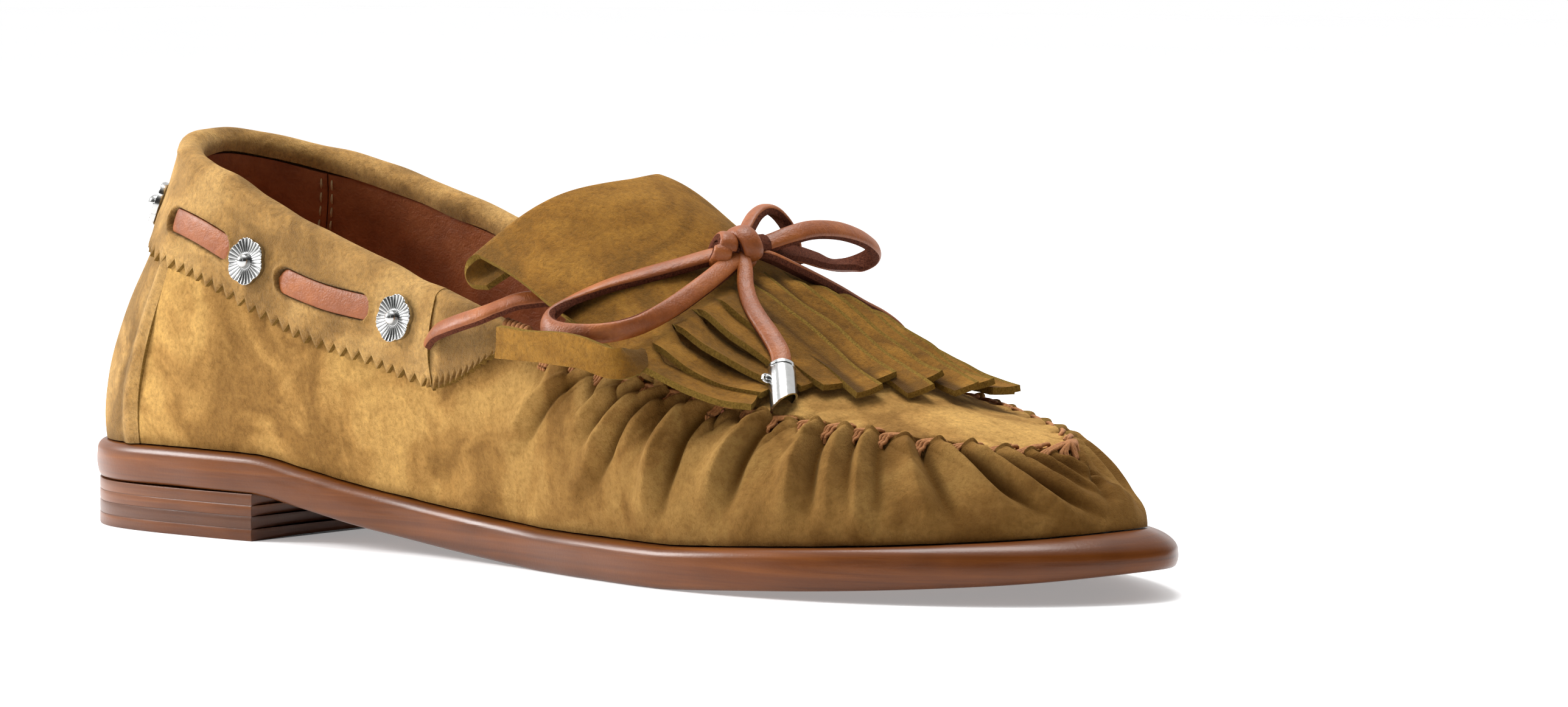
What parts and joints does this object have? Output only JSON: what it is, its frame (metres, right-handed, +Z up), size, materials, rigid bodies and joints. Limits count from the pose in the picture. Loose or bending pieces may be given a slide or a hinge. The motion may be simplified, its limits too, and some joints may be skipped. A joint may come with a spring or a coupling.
{
  "type": "moccasin",
  "caption": "Suede moccasin loafer: gathered whip-stitched toe, fringed kiltie flap, leather bow with metal tips, flower conchos round the collar, leather sole and low heel.",
  "frame": {"origin": "middle of the shoe's footprint box, on the floor plane under the heel and the ball of the foot", "axes": "+X from the heel to the toe, +Y towards the inner (medial) side of the foot, +Z up"},
  "size_m": [0.2686, 0.091, 0.0819],
  "materials": {
    "suede": "napped golden tan suede",
    "kiltie_suede": "napped suede, slightly darker and greener tan",
    "lace": "smooth salmon-brown leather with raw edges",
    "lining": "smooth matt brown lining leather",
    "sole_leather": "reddish brown, burnished and glossy",
    "board": "fibre board",
    "cork": "pressed cork",
    "stiffener": "stiffened felt",
    "foam": "soft foam",
    "steel": "plain steel",
    "chrome": "bright plated metal",
    "thread": "waxed salmon-brown thread"
  },
  "bodies": {
    "shoe": {"outsole": "sole_leather", "welt": "sole_leather", "heel_top_piece": "sole_leather", "heel_lift_1": "sole_leather", "heel_lift_2": "sole_leather", "heel_lift_3": "sole_leather", "heel_nail_1": "steel", "heel_nail_2": "steel", "heel_nail_3": "steel", "heel_nail_4": "steel", "cork_filler": "cork", "shank": "steel", "insole_board": "board", "sock_liner": "lining", "upper_wrap": "suede", "back_strip": "suede", "collar_band": "suede", "collar_foam": "foam", "heel_counter": "stiffener", "toe_puff": "stiffener", "heel_lining": "lining", "vamp_lining": "lining", "eyestay_lateral": "suede", "eyestay_medial": "suede", "apron": "suede", "apron_lining": "lining", "seam_cord": "thread", "tongue": "suede", "kiltie_top": "kiltie_suede", "lace_band": "lace", "lace_lateral": "lace", "lace_medial": "lace", "lace_arch": "lace", "lace_knot": "lace", "concho_1": "chrome", "concho_washer_1": "steel", "concho_2": "chrome", "concho_washer_2": "steel", "concho_3": "chrome", "concho_washer_3": "steel", "concho_4": "chrome", "concho_washer_4": "steel", "concho_5": "chrome", "concho_washer_5": "steel", "concho_6": "chrome", "concho_washer_6": "steel"},
    "fringe": {"fringe": "kiltie_suede"},
    "tail_lateral": {"lace_tail_lateral": "lace", "aglet_lateral": "chrome", "aglet_pin_lateral": "chrome"},
    "tail_medial": {"lace_tail_medial": "lace", "aglet_medial": "chrome", "aglet_pin_medial": "chrome"},
    "loop_lateral": {"lace_loop_lateral": "lace"},
    "loop_medial": {"lace_loop_medial": "lace"}
  },
  "joints": [
    {"name": "fringe_lift", "type": "hinge", "parent": "shoe", "child": "fringe", "pos_m": [0.03755, 0.0003, 0.0584], "axis": [0, -1, 0], "range_deg": [0, 22]},
    {"name": "tail_lateral_lift", "type": "hinge", "parent": "fringe", "child": "tail_lateral", "pos_m": [0.03925, -0.0052, 0.0604], "axis": [0, -1, 0], "range_deg": [0, 40]},
    {"name": "tail_medial_swing", "type": "hinge", "parent": "fringe", "child": "tail_medial", "pos_m": [0.03925, 0.0043, 0.061], "axis": [0, 0, -1], "range_deg": [0, 20]},
    {"name": "loop_lateral_lift", "type": "hinge", "parent": "shoe", "child": "loop_lateral", "pos_m": [0.03375, -0.0067, 0.0615], "axis": [-1, 0, 0], "range_deg": [0, 30]},
    {"name": "loop_medial_lift", "type": "hinge", "parent": "shoe", "child": "loop_medial", "pos_m": [0.03575, 0.0053, 0.0625], "axis": [1, 0, 0], "range_deg": [0, 25]}
  ]
}
